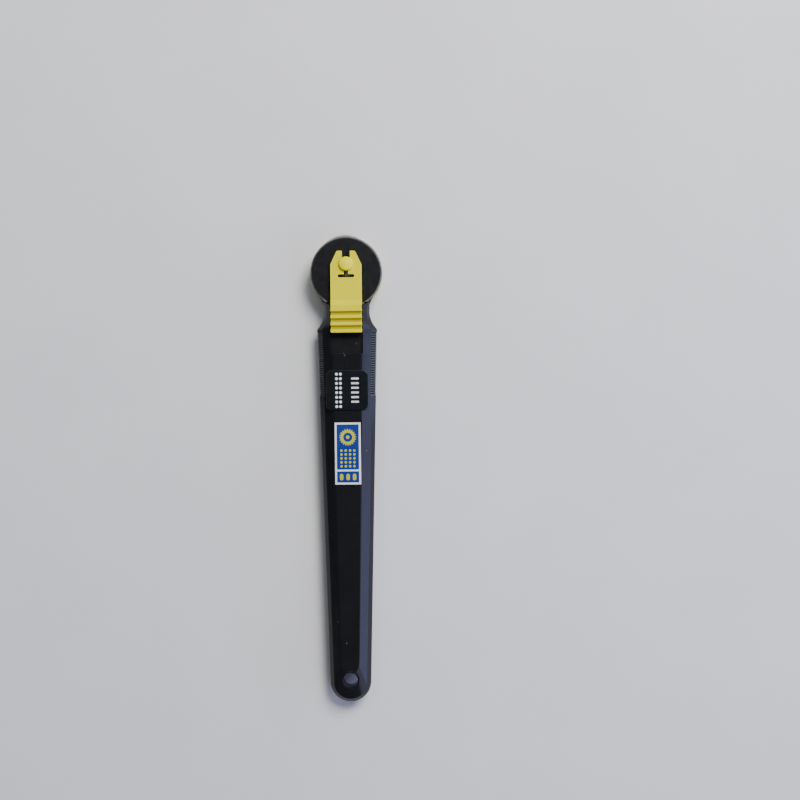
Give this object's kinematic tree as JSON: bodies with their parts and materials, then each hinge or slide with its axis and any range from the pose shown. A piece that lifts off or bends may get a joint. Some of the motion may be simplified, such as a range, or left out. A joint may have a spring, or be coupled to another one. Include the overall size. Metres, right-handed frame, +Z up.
{
  "type": "rivet punch tool",
  "caption": "Handheld rivet marking tool: flat faceted handle, round guard head, toothed punch wheel on a thumb slider, pull-out axle pin and hanging hole.",
  "frame": {"origin": "centre of the tool's bounding box, on the surface that its back lies on", "axes": "+Z up, out of the front face that carries the thumb slider; +Y along the tool from the tail to the wheel; +X to the right when seen from the front with the wheel at the top"},
  "size_m": [0.0212, 0.1386, 0.0102],
  "materials": {
    "handle_black": "moulded satin to gloss black plastic",
    "pad_black": "gloss black plastic with a pale printed mark",
    "guard_yellow": "moulded yellow plastic",
    "slider_yellow": "moulded yellow plastic, slightly glossy",
    "label_print": "blue printed vinyl with a white border",
    "wheel_steel": "ground steel with bright teeth",
    "pin_steel": "turned steel",
    "spring_steel": "blued spring steel",
    "hub_brass": "turned brass",
    "inner_plastic": "natural off-white plastic",
    "screw_steel": "dark zinc-plated steel"
  },
  "bodies": {
    "handle": {"front_shell": "handle_black", "rear_shell": "handle_black", "front_guard": "handle_black", "rear_guard": "guard_yellow", "finger_pad": "pad_black", "front_label": "label_print", "case_screw_front": "screw_steel", "case_screw_middle": "screw_steel", "case_screw_rear": "screw_steel"},
    "slider": {"thumb_slider": "slider_yellow", "slider_keeper": "inner_plastic", "detent_spring": "spring_steel"},
    "wheel": {"rivet_wheel": "wheel_steel", "hex_hub": "hub_brass", "front_washer": "pin_steel", "rear_washer": "spring_steel"},
    "axle": {"axle_pin": "pin_steel", "axle_knob": "slider_yellow"}
  },
  "joints": [
    {"name": "slider_slide", "type": "slide", "parent": "handle", "child": "slider", "axis": [0, 1, 0], "range_m": [-0.005, 0]},
    {"name": "wheel_spin", "type": "hinge", "parent": "slider", "child": "wheel", "pos_m": [0, 0.06005, 0.0042], "axis": [0, 0, 1], "continuous": true},
    {"name": "axle_pull", "type": "slide", "parent": "slider", "child": "axle", "axis": [0, 0, 1], "range_m": [0, 0.0085]}
  ]
}
